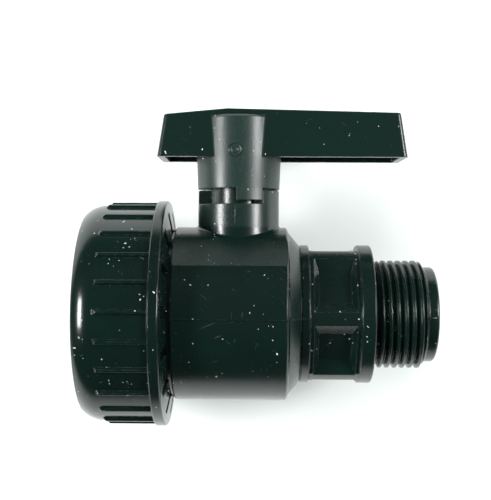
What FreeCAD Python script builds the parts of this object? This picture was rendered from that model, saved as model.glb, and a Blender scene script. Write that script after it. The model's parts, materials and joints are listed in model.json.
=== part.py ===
import FreeCAD, Part
import math
import os

# Quarter-turn ball valve for the outlet of an intermediate bulk container (IBC).
# A swivelling nut clamps it to the tank spout; the outlet is a male-threaded spigot.
# Frame: the origin is where the flow axis meets the sealing face of the tank gasket,
# +X runs downstream and +Z up the stem. Millimetres and degrees.

# ---- Flow path, ball and seats
bore_radius = 12.0
ball_radius = 19.5
ball_bore_edge = 0.5
ball_clearance = 0.5            # ball to chamber wall
seat_clearance = 0.03           # running gap between ball and seat
seat_bore_step = 0.6            # seat bore over flow bore
seat_width = 4.8
seat_floor = 1.1                # plastic left behind the ball's deepest point in the seat
seat_front_setback = 0.7
seat_pocket_clearance = 0.05

# ---- Seal rings, squeezed to an octagonal section
seal_section = 1.8              # ring behind each seat
carrier_seal_section = 2.0
stem_seal_section = 1.5
groove_clearance = 0.04
seat_seal_wall = 1.7            # flow bore to the groove behind the seat

# ---- Tank side: gasket, seat carrier and swivelling nut
gasket_thickness = 3.0
gasket_width = 7.5
carrier_flange_thickness = 3.4
carrier_thread_step = 1.0       # carrier thread over the ball chamber
carrier_thread_clearance = 0.05
carrier_mouth_width = 4.0       # flared inlet round the flow bore
carrier_mouth_depth = 4.5
spanner_slot_count = 4
spanner_slot_width = 5.0
spanner_slot_depth = 2.5
spanner_slot_reach = 3.2
nut_axial_gap = 0.2
nut_running_gap = 0.5           # nut lip round the body spigot
nut_lip_overlap = 1.8           # lip hidden behind the carrier flange
nut_cavity_gap = 0.4
nut_thread_depth = 2.25
nut_wall = 3.05
nut_mouth_length = 15.1         # thread ahead of the sealing face
nut_lead_chamfer = 0.4
nut_nose_length = 6.0
nut_nose_drop = 2.4
nut_flange_height = 1.4
nut_flange_thickness = 3.2
nut_flange_edge = 0.35
nut_back_crown = 1.4
nut_back_rim = 1.4
nut_rib_count = 25
nut_rib_height = 0.9
nut_rib_width = 1.5
nut_rib_crest = 0.8
nut_rib_setback = 0.5
nut_rib_phase = 4.5
nut_notch_count = 15
nut_notch_width = 3.6
nut_notch_reach = 5.8
nut_notch_depth = 1.7
nut_shoulder_gap = 0.9

# ---- Valve body
spigot_wall = 4.2               # tank-side spigot that the nut turns on
barrel_wall = 6.6
barrel_edge = 0.45
stem_from_shoulder = 19.1
barrel_past_stem = 14.9
barrel_end_step = 1.6
cone_length = 4.0
cone_foot_step = 0.4
label_flat_angle = 48.0
label_flat_half_angle = 13.0
collar_wall = 9.2               # collars and hexagon corners over the flow bore
collar_edge = 0.3
front_collar_thickness = 2.6
rear_collar_thickness = 4.2
hex_length = 14.8
hex_flat_drop = 1.7
pocket_floor_wall = 5.2
pocket_rib_width = 3.9
pocket_end_slope = 2.6
pocket_floor_half_width = 4.8
outlet_wall = 3.15              # flow bore to the thread root
outlet_thread_length = 15.8
outlet_relief_depth = 0.45
outlet_relief_length = 1.4
nose_length = 3.7
nose_drop = 0.6
nose_edge = 0.9

# ---- Neck and stem
neck_radius = 12.5
neck_height = 11.4              # neck top over the barrel
neck_root_fillet = 0.7
neck_top_edge = 0.3
housing_wall = 1.6              # thin sleeve round the stem above the neck
housing_rise = 2.4
stem_radius = 6.5
stem_clearance = 0.06
stem_disc_step = 2.1
stem_disc_thickness = 3.0
stem_disc_lift = 0.7            # ball top to stem disc
disc_pocket_clearance = 0.4
washer_thickness = 0.9
face_clearance = 0.05
stem_seal_first = 2.6           # ceiling of the disc pocket to the lower groove
stem_seal_pitch = 4.2
tang_thickness = 6.0
tang_width = 13.6
slot_floor_wall = 2.6
slot_clearance = 0.1
slot_end_clearance = 1.5
drive_clearance = 0.08
drive_start_gap = 0.2
snap_barb = 0.7
snap_head_height = 3.0
snap_slit_width = 2.2
snap_slit_depth = 9.0
snap_shelf_gap = 0.2

# ---- Handle
handle_gap = 0.3                # neck top to handle hub
hub_radius = 13.0
hub_draft = 0.4
hub_skirt_height = 9.4
hub_top_drop = 2.1              # hub shoulder under the handle's ridge
hub_top_edge = 0.6
skirt_gap = 1.0
skirt_ceiling_gap = 0.5
handle_width = 22.0
handle_side_draft = 0.7
handle_end_draft = 2.0
handle_wall = 2.0
handle_short_reach = 24.4
handle_long_reach = 50.8
handle_ridge_offset = -3.4
handle_ridge_height = 14.6
handle_short_height = 12.8
handle_long_height = 13.4
handle_corner = 1.4
handle_top_edge = 0.7
socket_depth = 11.1
snap_room_height = 5.2
snap_room_clearance = 0.5
tab_thickness = 3.1
tab_drop = 3.6
tab_floor_gap = 1.1
tab_start = -92.0               # angles about the stem, anticlockwise from +X seen from above
tab_span = 38.0
handle_travel = 90.0
stop_clearance = 0.8

# ---- Radii that follow from the sizes above
chamber_radius = ball_radius + ball_clearance
seat_inner_radius = bore_radius + seat_bore_step
seat_outer_radius = bore_radius + seat_width
seat_back = math.sqrt(ball_radius ** 2 - seat_inner_radius ** 2) + seat_floor
seat_front = math.sqrt(ball_radius ** 2 - seat_outer_radius ** 2) + seat_front_setback
seat_pocket_radius = seat_outer_radius + seat_pocket_clearance
seat_groove_inner = bore_radius + seat_seal_wall
seat_groove_outer = seat_groove_inner + seal_section + 2 * groove_clearance
seat_groove_depth = seal_section
carrier_thread_radius = chamber_radius + carrier_thread_step
carrier_shank_radius = carrier_thread_radius - carrier_thread_clearance
spigot_radius = carrier_thread_radius + spigot_wall
nut_lip_radius = spigot_radius + nut_running_gap
carrier_flange_radius = nut_lip_radius + nut_lip_overlap
nut_cavity_radius = carrier_flange_radius + nut_cavity_gap
nut_thread_radius = nut_cavity_radius + nut_thread_depth
nut_barrel_radius = nut_thread_radius + nut_wall
nut_flange_radius = nut_barrel_radius + nut_flange_height
barrel_radius = chamber_radius + barrel_wall
collar_radius = bore_radius + collar_wall
hex_flat_radius = collar_radius - hex_flat_drop
pocket_floor_radius = bore_radius + pocket_floor_wall
outlet_root_radius = bore_radius + outlet_wall

# ---- Stations along the flow axis
body_end_x = gasket_thickness + carrier_flange_thickness
nut_lip_x = body_end_x + nut_axial_gap
nut_flange_back_x = nut_lip_x + nut_flange_thickness
nut_back_x = nut_flange_back_x + nut_back_crown
shoulder_x = nut_back_x + nut_shoulder_gap
stem_x = shoulder_x + stem_from_shoulder
inlet_seat_back_x = stem_x - seat_back
carrier_end_x = stem_x - seat_front
outlet_seat_back_x = stem_x + seat_back
barrel_end_x = stem_x + barrel_past_stem
cone_end_x = barrel_end_x + cone_length
hex_start_x = cone_end_x + front_collar_thickness
hex_end_x = hex_start_x + hex_length
outlet_start_x = hex_end_x + rear_collar_thickness
nose_x = outlet_start_x + outlet_thread_length
outlet_end_x = nose_x + nose_length

# ---- Levels up the stem
slot_floor_z = bore_radius + slot_floor_wall
disc_floor_z = ball_radius + stem_disc_lift
disc_top_z = disc_floor_z + stem_disc_thickness
washer_top_z = disc_top_z + washer_thickness + face_clearance
disc_ceiling_z = washer_top_z + face_clearance
stem_disc_radius = stem_radius + stem_disc_step
disc_pocket_radius = stem_disc_radius + disc_pocket_clearance
neck_bore_radius = stem_radius + stem_clearance
neck_top_z = barrel_radius + neck_height
housing_radius = neck_bore_radius + housing_wall
housing_top_z = neck_top_z + housing_rise
hub_bottom_z = neck_top_z + handle_gap
tab_bottom_z = hub_bottom_z - tab_drop
notch_floor_z = tab_bottom_z - tab_floor_gap
handle_bottom_z = hub_bottom_z + hub_skirt_height
hub_top_z = handle_bottom_z + handle_ridge_height - hub_top_drop
skirt_radius = housing_radius + skirt_gap
skirt_ceiling_z = housing_top_z + skirt_ceiling_gap
drive_start_z = housing_top_z + drive_start_gap
drive_width = stem_radius * math.sqrt(2.0)
socket_width = drive_width + 2 * drive_clearance
snap_shelf_z = skirt_ceiling_z + socket_depth
snap_room_radius = drive_width / math.sqrt(2.0) + snap_barb + snap_room_clearance
snap_head_z = snap_shelf_z + snap_shelf_gap
stem_top_z = snap_head_z + snap_head_height

ORIGIN = FreeCAD.Vector(0, 0, 0)
X_AXIS = FreeCAD.Vector(1, 0, 0)
Z_AXIS = FreeCAD.Vector(0, 0, 1)
BALL_CENTRE = FreeCAD.Vector(stem_x, 0, 0)
CUT_ALLOWANCE = 1.0             # how far a cutter runs past an open face


# ---- Helpers

def face_in_xz(points):
    """Flat face in the XZ plane from (x, z) corners."""
    corners = [FreeCAD.Vector(x, 0, z) for x, z in points]
    return Part.Face(Part.makePolygon(corners + corners[:1]))


def turned_x(points):
    """Solid of revolution about the flow axis from an (x, radius) outline."""
    return face_in_xz(points).revolve(ORIGIN, X_AXIS, 360)


def turned_z(points):
    """Solid of revolution about the stem axis from a (radius, z) outline."""
    outline = [(stem_x + radius, z) for radius, z in points]
    return face_in_xz(outline).revolve(BALL_CENTRE, Z_AXIS, 360)


def rod_x(radius, start, end):
    return Part.makeCylinder(radius, end - start, FreeCAD.Vector(start, 0, 0), X_AXIS)


def rod_z(radius, bottom, top):
    return Part.makeCylinder(radius, top - bottom, FreeCAD.Vector(stem_x, 0, bottom), Z_AXIS)


def tube_x(inner, outer, start, end):
    return turned_x([(start, inner), (end, inner), (end, outer), (start, outer)])


def block(x_range, y_range, z_range):
    """Box between two corners."""
    lows = FreeCAD.Vector(x_range[0], y_range[0], z_range[0])
    return Part.makeBox(x_range[1] - x_range[0], y_range[1] - y_range[0], z_range[1] - z_range[0], lows)


def stem_block(length_x, length_y, bottom, top):
    """Box centred on the stem axis."""
    return block((stem_x - length_x / 2, stem_x + length_x / 2), (-length_y / 2, length_y / 2), (bottom, top))


def sector_z(inner, outer, bottom, top, start, span):
    """Part of a ring about the stem axis, from the angle start through span."""
    wedge = Part.makeCylinder(outer, top - bottom, FreeCAD.Vector(stem_x, 0, bottom), Z_AXIS, span)
    wedge.rotate(BALL_CENTRE, Z_AXIS, start)
    return wedge.cut(rod_z(inner, bottom - CUT_ALLOWANCE, top + CUT_ALLOWANCE))


def turned_copies(shape, count, first_angle):
    """Copies of a shape spaced evenly about the flow axis."""
    copies = []
    for index in range(count):
        copy = shape.copy()
        copy.rotate(ORIGIN, X_AXIS, first_angle + index * 360.0 / count)
        copies.append(copy)
    return copies


def seal_outline(start, bottom, length, height):
    """Section of a squeezed seal ring: a rectangle with its corners cut off at 30 per cent."""
    bevel = 0.3 * min(length, height)
    end = start + length
    top = bottom + height
    return [
        (start + bevel, bottom), (end - bevel, bottom), (end, bottom + bevel), (end, top - bevel),
        (end - bevel, top), (start + bevel, top), (start, top - bevel), (start, bottom + bevel),
    ]


def mirror_about_stem(shape):
    """The same piece on the other side of the ball."""
    return shape.mirror(BALL_CENTRE, X_AXIS)


# ---- Coupling nut

def nut_outer():
    """Barrel with its rounded nose, the end flange and the shallow coned back."""
    mouth_x = -nut_mouth_length
    nose_end_x = mouth_x + nut_nose_length
    nose_radius = (nut_nose_length ** 2 + nut_nose_drop ** 2) / (2 * nut_nose_drop)
    half_way = math.asin(nut_nose_length / nose_radius) / 2
    rim_radius = nut_barrel_radius - nut_nose_drop
    arc_middle = FreeCAD.Vector(
        nose_end_x - nose_radius * math.sin(half_way),
        0,
        nut_barrel_radius - nose_radius * (1 - math.cos(half_way)),
    )
    outline = [
        (nose_end_x, nut_barrel_radius),
        (nut_lip_x, nut_barrel_radius),
        (nut_lip_x, nut_flange_radius - nut_flange_edge),
        (nut_lip_x + nut_flange_edge, nut_flange_radius),
        (nut_flange_back_x - nut_flange_edge, nut_flange_radius),
        (nut_flange_back_x, nut_flange_radius - nut_flange_edge),
        (nut_flange_back_x, nut_flange_radius - nut_back_rim),
        (nut_back_x, nut_lip_radius),
        (mouth_x, nut_lip_radius),
        (mouth_x, rim_radius),
    ]
    points = [FreeCAD.Vector(x, 0, radius) for x, radius in outline]
    nose_arc = Part.Arc(points[-1], arc_middle, points[0]).toShape()
    wire = Part.Wire([nose_arc] + Part.makePolygon(points).Edges)
    return Part.Face(wire).revolve(ORIGIN, X_AXIS, 360)


def nut_rib():
    """One grip rib along the top of the barrel, sloped at its free end and run into the flange."""
    start_x = -nut_mouth_length + nut_nose_length + nut_rib_setback
    root_z = nut_barrel_radius - nut_rib_height
    crest_z = nut_barrel_radius + nut_rib_height
    half_root = nut_rib_width / 2 + (nut_rib_width - nut_rib_crest) / 2
    corners = [(-half_root, root_z), (half_root, root_z), (nut_rib_crest / 2, crest_z), (-nut_rib_crest / 2, crest_z)]
    points = [FreeCAD.Vector(start_x, y, z) for y, z in corners]
    bar = Part.Face(Part.makePolygon(points + points[:1])).extrude(X_AXIS * (nut_lip_x + nut_flange_edge - start_x))
    slope = face_in_xz([
        (start_x - CUT_ALLOWANCE, nut_barrel_radius),
        (start_x, nut_barrel_radius),
        (start_x + nut_rib_height, crest_z + CUT_ALLOWANCE / 10),
        (start_x - CUT_ALLOWANCE, crest_z + CUT_ALLOWANCE / 10),
    ])
    slope.translate(FreeCAD.Vector(0, -nut_rib_width, 0))
    return bar.cut(slope.extrude(FreeCAD.Vector(0, 2 * nut_rib_width, 0)))


def nut_notch():
    """Cutter for one notch across the inner edge of the nut's back."""
    reach = nut_lip_radius + nut_notch_reach
    half = nut_notch_width / 2
    return block((nut_back_x - nut_notch_depth, nut_back_x + CUT_ALLOWANCE), (-half, half), (spigot_radius, reach))


def coupling_nut():
    ribs = turned_copies(nut_rib(), nut_rib_count, 90 - nut_rib_phase)
    nut = nut_outer().fuse(ribs)
    mouth_x = -nut_mouth_length
    nut = nut.cut(turned_x([
        (mouth_x - CUT_ALLOWANCE, 0),
        (mouth_x - CUT_ALLOWANCE, nut_thread_radius + nut_lead_chamfer + CUT_ALLOWANCE),
        (mouth_x + nut_lead_chamfer, nut_thread_radius),
        (0, nut_thread_radius),
        (0, nut_cavity_radius),
        (nut_lip_x, nut_cavity_radius),
        (nut_lip_x, 0),
    ]))
    return nut.cut(turned_copies(nut_notch(), nut_notch_count, 90 - nut_rib_phase))


# ---- Tank-side seals and seat carrier

def face_gasket():
    return tube_x(carrier_flange_radius - gasket_width, carrier_flange_radius, 0, gasket_thickness)


def seat_seal():
    """Ring in the groove behind the outlet seat."""
    start_x = outlet_seat_back_x
    inner = seat_groove_inner + groove_clearance
    return turned_x(seal_outline(start_x, inner, seat_groove_depth, seal_section))


def seat_ring():
    """Outlet seat: a flat-backed ring with a spherical face that follows the ball."""
    ring = tube_x(seat_inner_radius, seat_outer_radius, stem_x + seat_front, outlet_seat_back_x)
    return ring.cut(Part.makeSphere(ball_radius + seat_clearance, BALL_CENTRE))


def seat_pocket(open_end_x):
    """Cutter for the outlet seat and the seal behind it, open towards the ball."""
    pocket = rod_x(seat_pocket_radius, open_end_x, outlet_seat_back_x)
    groove_end_x = outlet_seat_back_x + seat_groove_depth
    return pocket.fuse(tube_x(seat_groove_inner, seat_groove_outer, outlet_seat_back_x, groove_end_x))


def carrier_groove_x():
    """Middle of the seal groove on the carrier's shank, half way along the plain end."""
    return (body_end_x + carrier_end_x) / 2 + carrier_seal_section


def seat_carrier():
    """Threaded ring that holds the inlet seat and the nut's lip."""
    face_x = gasket_thickness
    mouth_radius = bore_radius + carrier_mouth_width
    carrier = turned_x([
        (face_x, mouth_radius),
        (face_x + carrier_mouth_depth, bore_radius),
        (carrier_end_x, bore_radius),
        (carrier_end_x, carrier_shank_radius),
        (body_end_x, carrier_shank_radius),
        (body_end_x, carrier_flange_radius),
        (face_x, carrier_flange_radius),
    ])
    carrier = carrier.cut(mirror_about_stem(seat_pocket(2 * stem_x - carrier_end_x - CUT_ALLOWANCE)
                                            .common(rod_x(carrier_shank_radius, stem_x, outlet_end_x))))
    middle = carrier_groove_x()
    half = carrier_seal_section / 2 + groove_clearance
    groove_floor = carrier_thread_radius - carrier_seal_section - groove_clearance
    carrier = carrier.cut(tube_x(groove_floor, carrier_thread_radius, middle - half, middle + half))
    half_slot = spanner_slot_width / 2
    slot = block(
        (face_x - CUT_ALLOWANCE, face_x + spanner_slot_depth),
        (-half_slot, half_slot),
        (bore_radius, mouth_radius + spanner_slot_reach - half_slot / 2),
    )
    return carrier.cut(turned_copies(slot, spanner_slot_count, 45))


def carrier_seal():
    start_x = carrier_groove_x() - carrier_seal_section / 2
    inner = carrier_thread_radius - carrier_seal_section
    return turned_x(seal_outline(start_x, inner, carrier_seal_section, carrier_seal_section - groove_clearance))


# ---- Valve body

def barrel():
    """Tank-side spigot, round barrel with two label flats, and the cone down to the collars."""
    top_radius = barrel_radius - barrel_end_step
    shell = turned_x([
        (body_end_x, 0),
        (body_end_x, spigot_radius),
        (shoulder_x, spigot_radius),
        (shoulder_x, barrel_radius - barrel_edge),
        (shoulder_x + barrel_edge, barrel_radius),
        (barrel_end_x - barrel_edge, barrel_radius),
        (barrel_end_x, barrel_radius - barrel_edge),
        (barrel_end_x + barrel_edge, top_radius),
        (cone_end_x, collar_radius - cone_foot_step),
        (cone_end_x, 0),
    ])
    flat_radius = barrel_radius * math.cos(math.radians(label_flat_half_angle))
    for side in (1, -1):
        cutter = block((body_end_x, cone_end_x), (-barrel_radius, barrel_radius), (flat_radius, 2 * barrel_radius))
        cutter.rotate(ORIGIN, X_AXIS, side * (90 - label_flat_angle))
        shell = shell.cut(cutter)
    return shell


def neck_root_edges(shape):
    """Curves where the neck meets the barrel."""
    found = []
    for edge in shape.Edges:
        middle = edge.valueAt((edge.FirstParameter + edge.LastParameter) / 2)
        from_stem = math.hypot(middle.x - stem_x, middle.y)
        from_flow = math.hypot(middle.y, middle.z)
        if abs(from_stem - neck_radius) < 0.01 and abs(from_flow - barrel_radius) < 0.01 and middle.z > 0:
            found.append(edge)
    return found


def neck_notch():
    """Cutter for the sector in which the handle's stop tab sweeps."""
    span = handle_travel + tab_span + 2 * stop_clearance
    start = tab_start - handle_travel - stop_clearance
    outer = neck_radius + CUT_ALLOWANCE
    return sector_z(housing_radius, outer, notch_floor_z, neck_top_z + CUT_ALLOWANCE, start, span)


def neck():
    """Upright neck with a bevelled top, without its notch."""
    return turned_z([
        (0, chamber_radius - barrel_wall / 2),
        (neck_radius, chamber_radius - barrel_wall / 2),
        (neck_radius, neck_top_z - neck_top_edge),
        (neck_radius - neck_top_edge, neck_top_z),
        (0, neck_top_z),
    ])


def collar(start_x, end_x):
    """Round collar with bevelled edges."""
    return turned_x([
        (start_x, 0),
        (start_x, collar_radius - collar_edge),
        (start_x + collar_edge, collar_radius),
        (end_x - collar_edge, collar_radius),
        (end_x, collar_radius - collar_edge),
        (end_x, 0),
    ])


def hex_pocket():
    """Cutter for one sloped pocket, over the hexagon's top flat."""
    rib_angle = 30 - math.degrees(math.asin(pocket_rib_width / 2 / collar_radius))
    rim_y = collar_radius * math.sin(math.radians(rib_angle))
    rim_z = collar_radius * math.cos(math.radians(rib_angle))
    growth = (collar_radius + CUT_ALLOWANCE - pocket_floor_radius) / (rim_z - pocket_floor_radius)
    top_y = pocket_floor_half_width + growth * (rim_y - pocket_floor_half_width)
    end_growth = (collar_radius + CUT_ALLOWANCE - pocket_floor_radius) / (collar_radius - pocket_floor_radius)
    middle_x = (hex_start_x + hex_end_x) / 2
    floor_x = hex_length / 2 - pocket_end_slope
    top_x = floor_x + end_growth * pocket_end_slope
    wires = []
    for half_x, half_y, z in (
        (floor_x, pocket_floor_half_width, pocket_floor_radius),
        (top_x, top_y, collar_radius + CUT_ALLOWANCE),
    ):
        signs = ((-1, -1), (1, -1), (1, 1), (-1, 1))
        corners = [FreeCAD.Vector(middle_x + sx * half_x, sy * half_y, z) for sx, sy in signs]
        wires.append(Part.makePolygon(corners + corners[:1]))
    return Part.makeLoft(wires, True, True)


def hexagon():
    """Spanner hexagon with round corners and a sloped pocket in each flat, ribs left at the corners."""
    apex = hex_flat_radius / math.cos(math.radians(30))
    angles = [math.radians(60 * index) for index in range(6)]
    corners = [FreeCAD.Vector(hex_start_x, apex * math.cos(a), apex * math.sin(a)) for a in angles]
    prism = Part.Face(Part.makePolygon(corners + corners[:1])).extrude(X_AXIS * hex_length)
    prism = prism.common(rod_x(collar_radius, hex_start_x, hex_end_x))
    zone = rod_x(collar_radius + 2 * CUT_ALLOWANCE, hex_start_x, hex_end_x)
    return prism.cut([pocket.common(zone) for pocket in turned_copies(hex_pocket(), 6, 0)])


def outlet_spigot():
    """Thread core with a run-out groove behind it and a plain rounded nose."""
    relief = outlet_root_radius - outlet_relief_depth
    tip_radius = outlet_root_radius - nose_drop
    spigot = turned_x([
        (outlet_start_x, 0),
        (outlet_start_x, relief),
        (outlet_start_x + outlet_relief_length, relief),
        (outlet_start_x + outlet_relief_length + outlet_relief_depth, outlet_root_radius),
        (nose_x, outlet_root_radius),
        (nose_x + nose_drop, tip_radius),
        (outlet_end_x, tip_radius),
        (outlet_end_x, 0),
    ])
    tip = [edge for edge in spigot.Edges if edge.BoundBox.XMin > outlet_end_x - 0.01 and edge.BoundBox.YLength > 1]
    return spigot.makeFillet(min(nose_edge, 0.4 * outlet_wall), tip)


def body_hollow():
    """Carrier thread, ball chamber, outlet seat pocket, flow bore and stem passage."""
    chamber = rod_x(chamber_radius, body_end_x, stem_x).fuse(Part.makeSphere(chamber_radius, BALL_CENTRE))
    thread_end_x = carrier_end_x + groove_clearance
    entry = rod_x(carrier_thread_radius, body_end_x - CUT_ALLOWANCE, thread_end_x)
    flow = rod_x(bore_radius, stem_x, outlet_end_x + CUT_ALLOWANCE)
    disc_pocket = rod_z(disc_pocket_radius, 0, disc_ceiling_z)
    stem_way = rod_z(neck_bore_radius, 0, housing_top_z + CUT_ALLOWANCE)
    return chamber.fuse([entry, flow, seat_pocket(stem_x), disc_pocket, stem_way])


def valve_body():
    core = barrel().fuse(neck()).removeSplitter()
    core = core.makeFillet(neck_root_fillet, neck_root_edges(core))
    core = core.cut(neck_notch()).fuse(rod_z(housing_radius, notch_floor_z - CUT_ALLOWANCE, housing_top_z))
    outer = core.fuse([
        collar(cone_end_x, hex_start_x),
        hexagon(),
        collar(hex_end_x, outlet_start_x),
        outlet_spigot(),
    ])
    return outer.removeSplitter().cut(body_hollow())


# ---- Ball and stem

def flow_ball():
    """Ball with its flow bore and the drive slot across the top."""
    ball = Part.makeSphere(ball_radius, BALL_CENTRE)
    ball = ball.cut(rod_x(bore_radius, stem_x - ball_radius, stem_x + ball_radius))
    rims = [edge for edge in ball.Edges if edge.BoundBox.XLength < 0.01 and edge.BoundBox.YLength > bore_radius]
    ball = ball.makeFillet(ball_bore_edge, rims)
    slot_width = tang_thickness + 2 * slot_clearance
    slot_length = tang_width + 2 * slot_end_clearance
    return ball.cut(stem_block(slot_width, slot_length, slot_floor_z, ball_radius + CUT_ALLOWANCE))


def stem_groove_levels():
    """Bottom level of each seal groove."""
    first = disc_ceiling_z + stem_seal_first
    return [first, first + stem_seal_pitch]


def snap_head():
    """Barbed square head that springs out over the shelf inside the handle."""
    half = drive_width / 2
    side = face_in_xz([
        (stem_x - half - snap_barb, snap_head_z),
        (stem_x + half + snap_barb, snap_head_z),
        (stem_x + half - snap_barb, stem_top_z),
        (stem_x - half + snap_barb, stem_top_z),
    ])
    side.translate(FreeCAD.Vector(0, -half, 0))
    return side.extrude(FreeCAD.Vector(0, drive_width, 0))


def stem():
    """Tang, retaining disc, grooved shaft, square drive and split snap head in one moulding."""
    tang = stem_block(tang_thickness, tang_width, slot_floor_z + 3 * slot_clearance, disc_floor_z)
    tang = tang.common(rod_z(stem_disc_radius, 0, disc_floor_z))
    shaft = turned_z([
        (0, disc_floor_z),
        (stem_disc_radius, disc_floor_z),
        (stem_disc_radius, disc_top_z),
        (stem_radius, disc_top_z),
        (stem_radius, drive_start_z),
        (0, drive_start_z),
    ])
    drive = stem_block(drive_width, drive_width, drive_start_z, snap_head_z)
    whole = shaft.fuse([tang, drive, snap_head()])
    groove_floor = stem_radius - stem_seal_section
    for level in stem_groove_levels():
        groove_top = level + stem_seal_section + 2 * groove_clearance
        ring = rod_z(stem_radius + CUT_ALLOWANCE, level, groove_top).cut(rod_z(groove_floor, level, groove_top))
        whole = whole.cut(ring)
    slit = stem_block(snap_slit_width, 2 * drive_width, stem_top_z - snap_slit_depth, stem_top_z + CUT_ALLOWANCE)
    return whole.cut(slit)


def stem_seal(level):
    """Seal ring in the groove that starts at the given level."""
    inner = stem_radius - stem_seal_section + groove_clearance
    return turned_z(seal_outline(inner, level + groove_clearance, stem_seal_section - groove_clearance,
                                 stem_seal_section))


def thrust_washer():
    """Slip washer between the stem's disc and the body."""
    washer = rod_z(stem_disc_radius, disc_top_z + face_clearance, washer_top_z)
    return washer.cut(rod_z(neck_bore_radius, disc_top_z, disc_ceiling_z))


# ---- Handle

def handle_block(inset):
    """Drafted, ridge-backed bar; a positive inset gives the hollow inside it."""
    low = handle_bottom_z - (CUT_ALLOWANCE if inset else 0)
    slope = handle_end_draft / handle_long_height
    drop = handle_bottom_z - low
    short_end = stem_x - handle_short_reach + inset
    long_end = stem_x + handle_long_reach - inset
    side = face_in_xz([
        (short_end - drop * slope, low),
        (short_end + slope * handle_short_height, handle_bottom_z + handle_short_height - inset),
        (stem_x + handle_ridge_offset, handle_bottom_z + handle_ridge_height - inset),
        (long_end - slope * handle_long_height, handle_bottom_z + handle_long_height - inset),
        (long_end + drop * slope, low),
    ])
    side.translate(FreeCAD.Vector(0, -handle_width, 0))
    side = side.extrude(FreeCAD.Vector(0, 2 * handle_width, 0))
    half = handle_width / 2 - inset
    lean = handle_side_draft / handle_ridge_height
    high = handle_bottom_z + handle_ridge_height + CUT_ALLOWANCE
    section = [
        (-half - drop * lean, low),
        (half + drop * lean, low),
        (half - lean * (high - handle_bottom_z), high),
        (-half + lean * (high - handle_bottom_z), high),
    ]
    corners = [FreeCAD.Vector(short_end - handle_width, y, z) for y, z in section]
    cross = Part.Face(Part.makePolygon(corners + corners[:1]))
    return side.common(cross.extrude(X_AXIS * (long_end - short_end + 2 * handle_width)))


def corner_edges(shape):
    """The four upright edges at the ends of the handle bar."""
    lengths_z = [edge for edge in shape.Edges if edge.BoundBox.ZLength > handle_short_height / 2]
    return [edge for edge in lengths_z if edge.BoundBox.XLength < handle_short_height]


def top_edges(shape):
    """Outer edges round the top of the handle bar, without the ridge line across it."""
    found = []
    for edge in shape.Edges:
        box = edge.BoundBox
        on_ridge = box.XLength < 0.01 and abs(box.XMin - stem_x - handle_ridge_offset) < 0.1
        if box.ZMin > handle_bottom_z + handle_short_height - 1 and not on_ridge:
            found.append(edge)
    return found


def handle_shell():
    """Bar open underneath, with rounded corners and top."""
    bar = handle_block(0)
    bar = bar.makeFillet(handle_corner, corner_edges(bar))
    bar = bar.makeFillet(min(handle_top_edge, 0.45 * handle_wall), top_edges(bar))
    return bar.cut(handle_block(handle_wall))


def handle_hub():
    """Round hub that stands proud of both sides of the bar, with its skirt below."""
    return turned_z([
        (0, hub_bottom_z),
        (hub_radius - hub_draft, hub_bottom_z),
        (hub_radius, handle_bottom_z),
        (hub_radius, hub_top_z - hub_top_edge),
        (hub_radius - hub_top_edge, hub_top_z),
        (0, hub_top_z),
    ])


def handle():
    """Handle with hub, stop tab, sleeve clearance, square socket and snap room."""
    outer = hub_radius - hub_draft
    tab = sector_z(outer - tab_thickness, outer, tab_bottom_z, hub_bottom_z + CUT_ALLOWANCE, tab_start, tab_span)
    grip = handle_shell().fuse([handle_hub(), tab]).removeSplitter()
    sleeve_room = rod_z(skirt_radius, hub_bottom_z - CUT_ALLOWANCE, skirt_ceiling_z)
    socket = stem_block(socket_width, socket_width, skirt_ceiling_z - CUT_ALLOWANCE, snap_shelf_z + CUT_ALLOWANCE)
    snap_room = rod_z(snap_room_radius, snap_shelf_z, snap_shelf_z + snap_room_height)
    return grip.cut([sleeve_room, socket, snap_room])


def make_nodes():
    """Every sub-part by its node name."""
    lower_level, upper_level = stem_groove_levels()
    return {
        "valve_body": valve_body(),
        "coupling_nut": coupling_nut(),
        "tank_face_gasket": face_gasket(),
        "seat_carrier": seat_carrier(),
        "seat_carrier_oring": carrier_seal(),
        "inlet_seat": mirror_about_stem(seat_ring()),
        "inlet_seat_oring": mirror_about_stem(seat_seal()),
        "outlet_seat": seat_ring(),
        "outlet_seat_oring": seat_seal(),
        "flow_ball": flow_ball(),
        "stem": stem(),
        "stem_lower_oring": stem_seal(lower_level),
        "stem_upper_oring": stem_seal(upper_level),
        "stem_thrust_washer": thrust_washer(),
        "handle": handle(),
    }


def main():
    os.makedirs("parts", exist_ok=True)
    for name, shape in make_nodes().items():
        if not shape.isValid() or len(shape.Solids) != 1:
            raise ValueError(name + " is not one valid solid")
        shape.Solids[0].exportStep("parts/" + name + ".step")
        print(name, round(shape.Volume, 1), "mm3")


main()
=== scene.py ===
import bpy
import json
import math
from mathutils import Matrix, Vector

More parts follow.
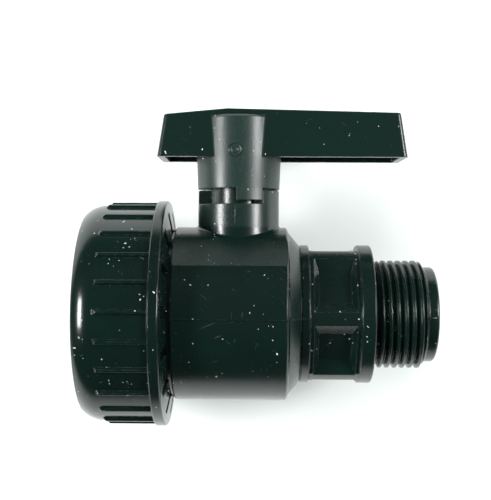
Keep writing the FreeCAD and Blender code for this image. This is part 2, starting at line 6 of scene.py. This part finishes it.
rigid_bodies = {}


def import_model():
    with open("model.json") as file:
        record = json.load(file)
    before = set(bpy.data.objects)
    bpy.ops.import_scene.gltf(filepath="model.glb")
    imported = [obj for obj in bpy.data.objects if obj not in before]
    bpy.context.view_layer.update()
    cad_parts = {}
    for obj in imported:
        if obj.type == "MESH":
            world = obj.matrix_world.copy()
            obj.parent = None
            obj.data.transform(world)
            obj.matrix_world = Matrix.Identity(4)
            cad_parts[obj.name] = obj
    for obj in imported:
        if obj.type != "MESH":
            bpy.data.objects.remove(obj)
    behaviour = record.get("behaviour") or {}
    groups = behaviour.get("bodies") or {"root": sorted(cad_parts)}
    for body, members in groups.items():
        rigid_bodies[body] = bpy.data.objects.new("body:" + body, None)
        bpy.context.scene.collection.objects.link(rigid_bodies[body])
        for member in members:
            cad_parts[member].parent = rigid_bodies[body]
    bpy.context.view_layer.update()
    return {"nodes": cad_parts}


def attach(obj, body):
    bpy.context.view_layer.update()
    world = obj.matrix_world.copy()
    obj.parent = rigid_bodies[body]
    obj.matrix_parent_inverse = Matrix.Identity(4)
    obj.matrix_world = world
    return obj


# Quarter-turn ball valve for a tank outlet, lying on its side on a white table.
# Metres; +X runs downstream along the flow, +Z up the stem, and the table is at +Y.

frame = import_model()
MM = 0.001

bpy.ops.object.select_all(action="DESELECT")


# ---------------------------------------------------------------- modelling by hand

def edit(obj, mode="VERT"):
    bpy.ops.object.select_all(action="DESELECT")
    obj.select_set(True)
    bpy.context.view_layer.objects.active = obj
    bpy.ops.object.mode_set(mode="EDIT")
    bpy.ops.mesh.select_mode(type=mode)
    bpy.ops.mesh.select_all(action="DESELECT")


def leave_edit():
    bpy.ops.object.mode_set(mode="OBJECT")


def pick_faces(obj, test):
    """Selects the faces that a test accepts, then goes back to edit mode."""
    bpy.ops.object.mode_set(mode="OBJECT")
    for face in obj.data.polygons:
        face.select = bool(test(face))
    bpy.ops.object.mode_set(mode="EDIT")


def settle(obj, name):
    """Puts the place into the mesh, points the faces outwards and names the piece."""
    bpy.ops.object.select_all(action="DESELECT")
    obj.select_set(True)
    bpy.context.view_layer.objects.active = obj
    bpy.ops.object.transform_apply(location=True, rotation=True, scale=True)
    bpy.ops.object.mode_set(mode="EDIT")
    bpy.ops.mesh.select_all(action="SELECT")
    bpy.ops.mesh.remove_doubles(threshold=2e-6)
    bpy.ops.mesh.normals_make_consistent(inside=False)
    bpy.ops.object.mode_set(mode="OBJECT")
    obj.name = name
    obj.data.name = name
    return obj


def apply_modifier(obj, kind, **values):
    bpy.ops.object.select_all(action="DESELECT")
    obj.select_set(True)
    bpy.context.view_layer.objects.active = obj
    modifier = obj.modifiers.new(kind.title(), kind)
    for key, value in values.items():
        setattr(modifier, key, value)
    bpy.ops.object.modifier_apply(modifier=modifier.name)


def smooth(obj, degrees=35):
    bpy.ops.object.select_all(action="DESELECT")
    obj.select_set(True)
    bpy.context.view_layer.objects.active = obj
    bpy.ops.object.shade_smooth_by_angle(angle=math.radians(degrees))


def section(points):
    """One flat face in the XZ plane, drawn from a small plane by extruding its corner."""
    bpy.ops.mesh.primitive_plane_add(size=MM, location=(0, 0, 0))
    obj = bpy.context.object
    edit(obj)
    bpy.ops.mesh.select_all(action="SELECT")
    bpy.ops.mesh.merge(type="CENTER")
    start = Vector((points[0][0] * MM, 0, points[0][1] * MM))
    bpy.ops.transform.translate(value=start)
    for a, b in zip(points, points[1:]):
        step = ((b[0] - a[0]) * MM, 0, (b[1] - a[1]) * MM)
        bpy.ops.mesh.extrude_vertices_move(TRANSFORM_OT_translate={"value": step})
    bpy.ops.mesh.select_all(action="SELECT")
    bpy.ops.mesh.edge_face_add()
    leave_edit()
    return obj


def turned_ring(points, steps=96):
    """A closed ring: the section turned a whole circle round the flow axis."""
    obj = section(points)
    edit(obj)
    bpy.ops.mesh.select_all(action="SELECT")
    bpy.ops.mesh.spin(steps=steps, angle=2 * math.pi, center=(0, 0, 0), axis=(1, 0, 0))
    bpy.ops.mesh.select_all(action="SELECT")
    bpy.ops.mesh.remove_doubles(threshold=2e-6)
    bpy.ops.mesh.delete_loose()
    bpy.ops.mesh.select_all(action="SELECT")
    bpy.ops.mesh.normals_make_consistent(inside=False)
    leave_edit()
    # Spin leaves the section inside the ring. It is told from the wall by its number of
    # corners, so a section of four keeps it.
    edit(obj, "FACE")
    sides = len(points)
    pick_faces(obj, lambda face: len(face.vertices) == sides and sides != 4)
    bpy.ops.mesh.delete(type="FACE")
    leave_edit()
    return obj


def helix(points, pitch, turns, steps=64):
    """A thread ridge with closed ends, its section swept round the flow axis."""
    obj = section(points)
    edit(obj, "FACE")
    bpy.ops.mesh.select_all(action="SELECT")
    bpy.ops.mesh.delete(type="ONLY_FACE")
    leave_edit()
    apply_modifier(obj, "SCREW", axis="X", angle=2 * math.pi, screw_offset=pitch * MM,
                   iterations=turns, steps=steps, render_steps=steps, use_smooth_shade=False)
    edit(obj)
    bpy.ops.mesh.select_all(action="SELECT")
    bpy.ops.mesh.remove_doubles(threshold=1e-6)
    bpy.ops.mesh.select_all(action="SELECT")
    bpy.ops.mesh.fill_holes(sides=0)
    bpy.ops.mesh.select_all(action="SELECT")
    bpy.ops.mesh.normals_make_consistent(inside=False)
    leave_edit()
    return obj


def cut_thread(name, ridge, envelope):
    """The ridge where the blank has material, which gives it its run-outs."""
    apply_modifier(ridge, "BOOLEAN", operation="INTERSECT", object=envelope, solver="EXACT")
    bpy.data.objects.remove(envelope)
    settle(ridge, name)
    smooth(ridge, 40)
    return ridge


# ---------------------------------------------------------------- threads

OUTLET_PITCH, OUTLET_CREST, OUTLET_TURNS = 2.309, 16.6, 8
OUTLET_CUT = OUTLET_CREST - 0.03        # the blank shaves the crests to one height
NUT_PITCH, NUT_CREST, NUT_TURNS = 6.0, 28.3, 4
NUT_BLANK = 28.35

outlet_thread = cut_thread(
    "outlet_thread",
    helix([(70.2, 14.4), (70.2, 15.22), (70.85, 16.42), (70.98, OUTLET_CREST),
           (71.62, OUTLET_CREST),
           (71.75, 16.42), (72.4, 15.22), (72.4, 14.4)], OUTLET_PITCH, OUTLET_TURNS),
    turned_ring([(73.0, 14.5), (73.0, 15.3), (74.2, OUTLET_CUT),
                 (86.7, OUTLET_CUT), (87.6, 15.2), (87.6, 14.5)]))
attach(outlet_thread, "valve")

nut_thread = cut_thread(
    "nut_thread",
    helix([(-22.2, 30.6), (-17.6, 30.6), (-18.9, NUT_CREST), (-20.3, NUT_CREST)],
          NUT_PITCH, NUT_TURNS),
    turned_ring([(-13.9, 30.4), (-12.6, NUT_BLANK), (-1.8, NUT_BLANK), (-0.9, 30.4)]))
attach(nut_thread, "nut")


# ---------------------------------------------------------------- parting seams and gate mark

def seam(name, path, place, across, rise=0.17, half=0.2):
    """A fine raised line along a path on the outside, with a rounded top."""
    bpy.ops.mesh.primitive_plane_add(size=MM, location=(0, 0, 0))
    obj = bpy.context.object
    edit(obj)
    bpy.ops.mesh.select_all(action="SELECT")
    bpy.ops.mesh.merge(type="CENTER")
    bpy.ops.transform.translate(value=place(*path[0]))
    for a, b in zip(path, path[1:]):
        bpy.ops.mesh.extrude_vertices_move(
            TRANSFORM_OT_translate={"value": place(*b) - place(*a)})
    # The line becomes a ribbon half a millimetre deep and then a thin bar.
    bpy.ops.mesh.select_all(action="SELECT")
    outward = (place(path[0][0], path[0][1] + 1) - place(*path[0])).normalized()
    bpy.ops.transform.translate(value=outward * (rise * MM))
    bpy.ops.mesh.extrude_edges_move(TRANSFORM_OT_translate={"value": -outward * (0.5 * MM)})
    bpy.ops.mesh.select_all(action="SELECT")
    bpy.ops.transform.translate(value=-across * (half * MM))
    bpy.ops.mesh.extrude_region_move(TRANSFORM_OT_translate={"value": across * (2 * half * MM)})
    leave_edit()
    settle(obj, name)
    apply_modifier(obj, "BEVEL", width=0.05 * MM, segments=2, limit_method="ANGLE")
    smooth(obj, 50)
    return obj


BARREL_R, COLLAR_R = 26.6, 21.18
barrel_line = [(12.2, BARREL_R), (46.0, BARREL_R), (46.1, 25.0), (50.0, 21.5),
               (50.2, COLLAR_R), (52.6, COLLAR_R)]
collar_line = [(67.6, COLLAR_R), (71.6, COLLAR_R)]
nose_line = [(87.6, 15.12), (90.2, 14.6)]
for side, sign in (("near", -1), ("far", 1)):
    for part, line in (("barrel", barrel_line), ("collar", collar_line), ("nose", nose_line)):
        piece = seam(f"{part}_seam_{side}", line,
                     lambda x, r, s=sign: Vector((x * MM, s * r * MM, 0)), Vector((0, 0, 1)))
        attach(piece, "valve")

STEM_X, NECK_R, HUB_R = 31.2, 12.5, 13.0
MOULD_TURN = -4                         # the upright mould halves meet this far off the side
neck_angle = math.radians(MOULD_TURN - 90)
neck_out = Vector((math.cos(neck_angle), math.sin(neck_angle), 0))
neck_seam = seam("neck_seam", [(27.0, NECK_R), (33.5, NECK_R)],
                 lambda z, r: Vector((STEM_X * MM, 0, z * MM)) + neck_out * (r * MM),
                 Vector((-neck_out.y, neck_out.x, 0)), rise=0.14, half=0.17)
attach(neck_seam, "valve")


GATE_R, GATE_DEPTH, GATE_Z, GATE_SINK = 2.1, 0.7, 49.6, 0.16


def gate_mark():
    """The ring that the moulding gate leaves on the hub, with its core pin circle."""
    turn = math.radians(MOULD_TURN)
    bpy.ops.mesh.primitive_cylinder_add(
        vertices=40, radius=GATE_R * MM, depth=GATE_DEPTH * MM, location=(0, 0, 0),
        rotation=(math.radians(90), 0, turn))
    obj = bpy.context.object
    bpy.ops.object.transform_apply(rotation=True)
    out = Vector((math.sin(turn), -math.cos(turn), 0))
    edit(obj, "FACE")
    pick_faces(obj, lambda face: Vector(face.normal).dot(out) > 0.9)
    for inset, push in ((0.28, 0.0), (0.16, -0.16), (0.55, 0.0), (0.14, 0.14), (0.25, 0.02),
                        (0.12, -0.1)):
        bpy.ops.mesh.inset(thickness=inset * MM, depth=0)
        bpy.ops.transform.translate(value=out * (push * MM))
    leave_edit()
    obj.location = Vector((STEM_X * MM, 0, GATE_Z * MM)) + out * ((HUB_R - GATE_SINK) * MM)
    settle(obj, "hub_gate_mark")
    apply_modifier(obj, "BEVEL", width=0.05 * MM, segments=2, limit_method="ANGLE")
    smooth(obj, 40)
    return obj


hub_gate = gate_mark()
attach(hub_gate, "operator")


# ---------------------------------------------------------------- surface effects

def group(name, inputs, outputs):
    tree = bpy.data.node_groups.new(name, "ShaderNodeTree")
    for label, kind, default in inputs:
        socket = tree.interface.new_socket(label, in_out="INPUT", socket_type=kind)
        if default is not None:
            socket.default_value = default
    for label, kind in outputs:
        tree.interface.new_socket(label, in_out="OUTPUT", socket_type=kind)
    return tree, tree.nodes.new("NodeGroupInput"), tree.nodes.new("NodeGroupOutput")


def node(tree, kind, links=None, **values):
    """Adds a node; links maps its inputs to sockets or constants."""
    made = tree.nodes.new("ShaderNode" + kind)
    for key, value in values.items():
        setattr(made, key, value)
    for key, value in (links or {}).items():
        if isinstance(value, bpy.types.NodeSocket):
            tree.links.new(value, made.inputs[key])
        else:
            made.inputs[key].default_value = value
    return made


def math_node(tree, operation, a, b=None, clamp=False):
    links = {0: a}
    if b is not None:
        links[1] = b
    return node(tree, "Math", links, operation=operation, use_clamp=clamp).outputs[0]


def range_node(tree, value, low, high, to_low=0.0, to_high=1.0):
    made = node(tree, "MapRange", {"Value": value, "From Min": low, "From Max": high,
                                   "To Min": to_low, "To Max": to_high}, clamp=True)
    return made.outputs["Result"]


def spark_grain():
    """Fine eroded texture of the mould: a height, and a mask of its peaks, where the colour gets
    painted glints.
    """
    tree, start, end = group(
        "spark_grain", [("Vector", "NodeSocketVector", None), ("Size", "NodeSocketFloat", 2500.0)],
        [("Height", "NodeSocketFloat"), ("PaintedGlintPeaks", "NodeSocketFloat")])
    fine = node(tree, "TexNoise", {"Vector": start.outputs["Vector"],
                                   "Scale": start.outputs["Size"], "Detail": 3.0,
                                   "Roughness": 0.6})
    cells = node(tree, "TexVoronoi", {"Vector": start.outputs["Vector"],
                                      "Scale": math_node(tree, "MULTIPLY",
                                                         start.outputs["Size"], 0.6)})
    height = math_node(tree, "ADD", fine.outputs["Fac"],
                       math_node(tree, "MULTIPLY", cells.outputs["Distance"], 0.5))
    tree.links.new(height, end.inputs["Height"])
    # The peaks mask places painted glints: pale colour standing in for light caught on the grain.
    tree.links.new(range_node(tree, fine.outputs["Fac"], 0.58, 0.72), end.inputs["PaintedGlintPeaks"])
    return tree


def white_specks():
    """Dust and fine swarf: round specks and short curls, denser in patches."""
    tree, start, end = group(
        "white_specks", [("Vector", "NodeSocketVector", None), ("Size", "NodeSocketFloat", 420.0),
                         ("Amount", "NodeSocketFloat", 0.5)],
        [("Mask", "NodeSocketFloat")])
    vector = start.outputs["Vector"]
    warp = node(tree, "TexNoise", {"Vector": vector, "Scale": 900.0, "Detail": 1.0})
    bent = node(tree, "VectorMath", {0: warp.outputs["Color"], 1: (0.0016, 0.0016, 0.0016)},
                operation="MULTIPLY")
    moved = node(tree, "VectorMath", {0: vector, 1: bent.outputs[0]}, operation="ADD")
    cells = node(tree, "TexVoronoi", {"Vector": moved.outputs[0],
                                      "Scale": start.outputs["Size"], "Randomness": 1.0})
    split = node(tree, "SeparateColor", {"Color": cells.outputs["Color"]})
    patches = node(tree, "TexNoise", {"Vector": vector, "Scale": 70.0, "Detail": 2.0})
    chance = math_node(tree, "MULTIPLY", start.outputs["Amount"],
                       range_node(tree, patches.outputs["Fac"], 0.35, 0.7, 0.25, 1.6))
    chosen = math_node(tree, "GREATER_THAN", chance, split.outputs["Red"])
    radius = range_node(tree, split.outputs["Green"], 0.0, 1.0, 0.06, 0.17)
    dot = math_node(tree, "GREATER_THAN", radius, cells.outputs["Distance"])
    tree.links.new(math_node(tree, "MULTIPLY", chosen, dot), end.inputs["Mask"])
    return tree


def fine_scratches():
    """Hairline scuffs in a few directions, broken up so that they start and stop."""
    tree, start, end = group(
        "fine_scratches", [("Vector", "NodeSocketVector", None),
                           ("Size", "NodeSocketFloat", 260.0),
                           ("Amount", "NodeSocketFloat", 0.5)],
        [("Mask", "NodeSocketFloat")])
    vector = start.outputs["Vector"]
    total = None
    for turn, stretch in ((0.4, 0.05), (1.5, 0.04), (2.5, 0.07)):
        turned = node(tree, "VectorRotate", {"Vector": vector, "Angle": turn},
                      rotation_type="Y_AXIS")
        long_way = node(tree, "VectorMath", {0: turned.outputs[0], 1: (stretch, 0.7, 1.0)},
                        operation="MULTIPLY")
        lines = node(tree, "TexNoise", {"Vector": long_way.outputs[0],
                                        "Scale": math_node(tree, "MULTIPLY",
                                                           start.outputs["Size"], 5.0),
                                        "Detail": 2.0, "Roughness": 0.6})
        hair = range_node(tree, lines.outputs["Fac"], 0.70, 0.74)
        total = hair if total is None else math_node(tree, "MAXIMUM", total, hair)
    breaks = node(tree, "TexNoise", {"Vector": vector, "Scale": start.outputs["Size"],
                                     "Detail": 1.0})
    shown = math_node(tree, "MULTIPLY", total,
                      range_node(tree, breaks.outputs["Fac"], 0.48, 0.6))
    tree.links.new(math_node(tree, "MULTIPLY", shown, start.outputs["Amount"]),
                   end.inputs["Mask"])
    return tree


def rubbed_edges():
    """Where an outside edge has been handled: rounded by the Bevel node, then broken up."""
    tree, start, end = group(
        "rubbed_edges", [("Vector", "NodeSocketVector", None),
                         ("Radius", "NodeSocketFloat", 0.0004),
                         ("Amount", "NodeSocketFloat", 0.5)],
        [("Mask", "NodeSocketFloat"), ("Normal", "NodeSocketVector")])
    rounded = node(tree, "Bevel", {"Radius": start.outputs["Radius"]}, samples=6)
    flat = node(tree, "NewGeometry")
    same = node(tree, "VectorMath", {0: rounded.outputs[0], 1: flat.outputs["Normal"]},
                operation="DOT_PRODUCT")
    edge = range_node(tree, same.outputs["Value"], 0.99, 0.86)
    wear = node(tree, "TexNoise", {"Vector": start.outputs["Vector"], "Scale": 700.0,
                                   "Detail": 3.0})
    worn = math_node(tree, "MULTIPLY", edge, range_node(tree, wear.outputs["Fac"], 0.4, 0.65))
    tree.links.new(math_node(tree, "MULTIPLY", worn, start.outputs["Amount"]),
                   end.inputs["Mask"])
    tree.links.new(rounded.outputs[0], end.inputs["Normal"])
    return tree


GRAIN, SPECKS, SCRATCHES, EDGES = (spark_grain(), white_specks(), fine_scratches(),
                                   rubbed_edges())


# ---------------------------------------------------------------- materials

def place_group(tree, effect, vector, **values):
    made = tree.nodes.new("ShaderNodeGroup")
    made.node_tree = effect
    tree.links.new(vector, made.inputs["Vector"])
    for key, value in values.items():
        socket = made.inputs[key]
        if isinstance(value, bpy.types.NodeSocket):
            tree.links.new(value, socket)
        else:
            socket.default_value = value
    return made


def blend_colour(tree, factor, a, b):
    made = node(tree, "Mix", {"Factor": factor}, data_type="RGBA")
    for socket, value in ((made.inputs[6], a), (made.inputs[7], b)):
        if isinstance(value, bpy.types.NodeSocket):
            tree.links.new(value, socket)
        else:
            socket.default_value = value
    return made.outputs[2]


def moulded_plastic(name, colour, shade, rough=0.22, grain_size=2600.0, grain_depth=0.06,
                    specks=0.03, scratches=0.4, edges=0.5, speck_size=420.0,
                    speck_colour=(0.72, 0.75, 0.74, 1), texture=None, ior=1.5):
    """Glossy moulded plastic with slow shade changes, grain, dust, scuffs and rubbed edges.
    texture(tree, place) gives a mask of where the mould was eroded to a dull grain; there the
    colour also carries a painted sheen and painted glints on the grain's peaks."""
    material = bpy.data.materials.new(name)
    material.use_nodes = True
    tree = material.node_tree
    shader = tree.nodes["Principled BSDF"]
    place = node(tree, "TexCoord").outputs["Object"]
    slow = node(tree, "TexNoise", {"Vector": place, "Scale": 45.0, "Detail": 4.0,
                                   "Roughness": 0.55})
    base = blend_colour(tree, range_node(tree, slow.outputs["Fac"], 0.3, 0.7), colour, shade)
    grain = place_group(tree, GRAIN, place, Size=grain_size)
    dust = place_group(tree, SPECKS, place, Size=speck_size, Amount=specks)
    scuff = place_group(tree, SCRATCHES, place, Amount=scratches)
    edge = place_group(tree, EDGES, place, Amount=edges)
    marks = math_node(tree, "MAXIMUM", scuff.outputs["Mask"], edge.outputs["Mask"])
    base = blend_colour(tree, math_node(tree, "MULTIPLY", marks, 0.35), base,
                        (0.11, 0.15, 0.14, 1))
    roughness = range_node(tree, slow.outputs["Fac"], 0.3, 0.7, rough * 0.8, rough * 1.25)
    roughness = math_node(tree, "ADD", roughness, math_node(tree, "MULTIPLY", marks, 0.25))
    height = math_node(tree, "MULTIPLY", grain.outputs["Height"], grain_depth)
    if texture:
        matt_and_sheen = texture(tree, place)
        # Painted glints: the grain's peaks in the eroded zone are painted pale, standing in for
        # light caught by the grain.
        base = blend_colour(tree, math_node(tree, "MULTIPLY", matt_and_sheen, math_node(
            tree, "MULTIPLY", grain.outputs["PaintedGlintPeaks"], 0.25)), base, (0.16, 0.21, 0.20, 1))
        # Painted sheen: the whole eroded zone is painted a little lighter, standing in for light
        # scattered by the grain; the roughness and bump below are the real grain.
        base = blend_colour(tree, math_node(tree, "MULTIPLY", matt_and_sheen, 0.25), base,
                            (0.030, 0.055, 0.049, 1))
        roughness = math_node(tree, "ADD", roughness, math_node(tree, "MULTIPLY", matt_and_sheen, 0.10))
        height = math_node(tree, "MULTIPLY", grain.outputs["Height"],
                           range_node(tree, matt_and_sheen, 0.0, 1.0, grain_depth, grain_depth * 6))
    base = blend_colour(tree, math_node(tree, "MULTIPLY", dust.outputs["Mask"], 0.8), base,
                        speck_colour)
    roughness = math_node(tree, "ADD", roughness,
                          math_node(tree, "MULTIPLY", dust.outputs["Mask"], 0.5), clamp=True)
    bump = node(tree, "Bump", {"Height": height, "Strength": 0.35, "Distance": 0.0002,
                               "Normal": edge.outputs["Normal"]})
    tree.links.new(base, shader.inputs["Base Color"])
    tree.links.new(roughness, shader.inputs["Roughness"])
    tree.links.new(bump.outputs[0], shader.inputs["Normal"])
    shader.inputs["IOR"].default_value = ior
    return material


def hub_texture(tree, place):
    """The hub, but not the long panel, carries the eroded grain, and with it a painted sheen and
    painted glints.
    """
    centred = node(tree, "VectorMath", {0: place, 1: (-STEM_X * MM, 0.0, 0.0)}, operation="ADD")
    flat = node(tree, "VectorMath", {0: centred.outputs[0], 1: (1.0, 1.0, 0.0)},
                operation="MULTIPLY")
    reach = node(tree, "VectorMath", {0: flat.outputs[0]}, operation="LENGTH")
    axes = node(tree, "SeparateXYZ", {"Vector": place})
    inside = range_node(tree, reach.outputs["Value"], 0.01335, 0.0131)
    outside = range_node(tree, reach.outputs["Value"], 0.0121, 0.0124)
    low = range_node(tree, axes.outputs["Z"], 0.0605, 0.0600)
    return math_node(tree, "MULTIPLY", math_node(tree, "MULTIPLY", inside, outside), low)


def neck_texture(tree, place):
    """The neck above the barrel is eroded like the hub at a little over half strength, and carries
    the same painted sheen and painted glints.
    """
    axes = node(tree, "SeparateXYZ", {"Vector": place})
    return math_node(tree, "MULTIPLY", range_node(tree, axes.outputs["Z"], 0.0262, 0.0272), 0.55)


DARK = (0.0030, 0.0120, 0.0092, 1)
DEEP = (0.0022, 0.0078, 0.0064, 1)
body_plastic = moulded_plastic("body_plastic", DARK, DEEP, rough=0.24, specks=0.16,
                               speck_size=760.0, scratches=0.5, texture=neck_texture)
nut_plastic = moulded_plastic("nut_plastic", (0.0030, 0.0112, 0.0090, 1),
                              (0.0022, 0.0072, 0.0060, 1), rough=0.19, specks=0.20,
                              speck_size=760.0, scratches=0.6)
handle_plastic = moulded_plastic("handle_plastic", (0.0040, 0.0155, 0.0115, 1),
                                 (0.0028, 0.0105, 0.0082, 1), rough=0.25, specks=0.12,
                                 speck_size=800.0, scratches=0.25, texture=hub_texture)
carrier_plastic = moulded_plastic("carrier_plastic", DARK, DEEP, rough=0.3, specks=0.02)
stem_plastic = moulded_plastic("stem_plastic", DARK, DEEP, rough=0.3, specks=0.01)
ball_plastic = moulded_plastic("ball_plastic", (0.0065, 0.017, 0.014, 1), DEEP, rough=0.12,
                               grain_depth=0.02, specks=0.01, scratches=0.2)
seat_plastic = moulded_plastic("seat_plastic", (0.80, 0.80, 0.77, 1), (0.72, 0.72, 0.68, 1),
                               rough=0.34, grain_depth=0.05, specks=0.02, scratches=0.2,
                               edges=0.3, speck_colour=(0.35, 0.34, 0.32, 1), ior=1.38)
seal_rubber = moulded_plastic("seal_rubber", (0.013, 0.013, 0.013, 1), (0.020, 0.020, 0.020, 1),
                              rough=0.62, grain_size=1800.0, grain_depth=0.2, specks=0.12,
                              speck_size=900.0, scratches=0.2, edges=0.2,
                              speck_colour=(0.30, 0.30, 0.29, 1), ior=1.52)
seat_plastic.node_tree.nodes["Principled BSDF"].inputs["Subsurface Weight"].default_value = 0.25
seat_plastic.node_tree.nodes["Principled BSDF"].inputs["Subsurface Scale"].default_value = 0.002

FINISHES = {"body_plastic": body_plastic, "nut_plastic": nut_plastic,
            "handle_plastic": handle_plastic, "carrier_plastic": carrier_plastic,
            "stem_plastic": stem_plastic, "ball_plastic": ball_plastic,
            "seat_plastic": seat_plastic, "seal_rubber": seal_rubber}
NODE_FINISH = {
    "valve_body": "body_plastic", "coupling_nut": "nut_plastic", "handle": "handle_plastic",
    "seat_carrier": "carrier_plastic", "stem": "stem_plastic", "flow_ball": "ball_plastic",
    "inlet_seat": "seat_plastic", "outlet_seat": "seat_plastic",
    "stem_thrust_washer": "seat_plastic", "tank_face_gasket": "seal_rubber",
    "seat_carrier_oring": "seal_rubber", "inlet_seat_oring": "seal_rubber",
    "outlet_seat_oring": "seal_rubber", "stem_lower_oring": "seal_rubber",
    "stem_upper_oring": "seal_rubber"}


def dress(obj, slot):
    obj.data.materials.clear()
    obj.data.materials.append(FINISHES[slot])


for name, obj in frame["nodes"].items():
    dress(obj, NODE_FINISH[name])
for obj in list(bpy.data.objects):
    if obj.type == "MESH" and obj.name not in frame["nodes"]:
        dress(obj, {"nut_thread": "nut_plastic", "hub_gate_mark": "handle_plastic"}.get(
            obj.name, "body_plastic"))


# ---------------------------------------------------------------- table, light and camera

TABLE_Y = 0.0353


def table():
    bpy.ops.mesh.primitive_plane_add(size=3.2, location=(0.03, TABLE_Y, 0.0),
                                     rotation=(math.radians(90), 0, 0))
    obj = bpy.context.object
    obj.name = "white_table"
    bpy.ops.object.transform_apply(location=True, rotation=True, scale=True)
    material = bpy.data.materials.new("white_card")
    material.use_nodes = True
    tree = material.node_tree
    card = tree.nodes["Principled BSDF"]
    card.inputs["Base Color"].default_value = (0.88, 0.92, 0.90, 1)
    card.inputs["Roughness"].default_value = 0.9
    card.inputs["Specular IOR Level"].default_value = 0.1
    clear = node(tree, "BsdfTransparent")
    side = node(tree, "NewGeometry")
    both = node(tree, "MixShader", {0: side.outputs["Backfacing"], 1: card.outputs[0],
                                    2: clear.outputs[0]})
    tree.links.new(both.outputs[0], tree.nodes["Material Output"].inputs["Surface"])
    obj.data.materials.append(material)
    return obj


table()


def lamp(name, place, aim, width, height, watts, glossy=True):
    data = bpy.data.lights.new(name, "AREA")
    data.shape = "RECTANGLE"
    data.size, data.size_y, data.energy = width, height, watts
    obj = bpy.data.objects.new(name, data)
    bpy.context.scene.collection.objects.link(obj)
    obj.location = place
    obj.rotation_euler = (Vector(aim) - Vector(place)).to_track_quat("-Z", "Y").to_euler()
    obj.visible_glossy = glossy
    obj.visible_camera = False
    return obj


AIM = (0.033, 0.0, 0.015)
lamp("left_soft_box", (-0.50, -0.42, 0.03), AIM, 0.13, 0.26, 4.6)
lamp("right_soft_box", (0.56, -0.42, 0.12), AIM, 0.13, 0.26, 4.6)
lamp("top_window", (-0.10, -0.55, 0.60), AIM, 0.6, 0.4, 3.6, glossy=False)


def room():
    world = bpy.data.worlds.new("studio")
    bpy.context.scene.world = world
    world.use_nodes = True
    tree = world.node_tree
    tree.nodes.clear()
    out = node(tree, "OutputWorld")
    path = node(tree, "LightPath")
    white = node(tree, "Background", {"Color": (0.93, 0.97, 0.95, 1), "Strength": 1.0})
    # Seen in the gloss, the room is white towards the table and dark on the open side.
    where = node(tree, "TexCoord").outputs["Generated"]
    axes = node(tree, "SeparateXYZ", {"Vector": where})
    pale = node(tree, "MapRange", {"Value": axes.outputs["Y"], "From Min": 0.1,
                                   "From Max": 0.75, "To Min": 0.03, "To Max": 1.0},
                interpolation_type="SMOOTHSTEP")
    gloss = node(tree, "Background", {"Color": (0.86, 0.95, 0.93, 1)})
    tree.links.new(pale.outputs["Result"], gloss.inputs["Strength"])
    fill = node(tree, "Background", {"Color": (0.93, 0.97, 0.95, 1), "Strength": 0.36})
    lit = node(tree, "MixShader", {0: path.outputs["Is Glossy Ray"], 1: fill.outputs[0],
                                   2: gloss.outputs[0]})
    seen = math_node(tree, "MAXIMUM", path.outputs["Is Camera Ray"],
                     path.outputs["Is Transmission Ray"])
    final = node(tree, "MixShader", {0: seen, 1: lit.outputs[0], 2: white.outputs[0]})
    tree.links.new(final.outputs[0], out.inputs["Surface"])


room()
bpy.context.scene.view_settings.view_transform = "Standard"


def camera():
    data = bpy.data.cameras.new("camera")
    data.lens, data.sensor_width = 66.8, 36.0
    obj = bpy.data.objects.new("camera", data)
    bpy.context.scene.collection.objects.link(obj)
    place = Vector((0.0370, -0.2885, 0.0227))
    target = Vector((0.0334, 0.0, 0.0196))
    look = (target - place).to_track_quat("-Z", "Y").to_matrix().to_4x4()
    roll = Matrix.Rotation(math.radians(-0.3), 4, (target - place).normalized())
    obj.matrix_world = Matrix.Translation(place) @ roll @ look
    bpy.context.scene.camera = obj


camera()
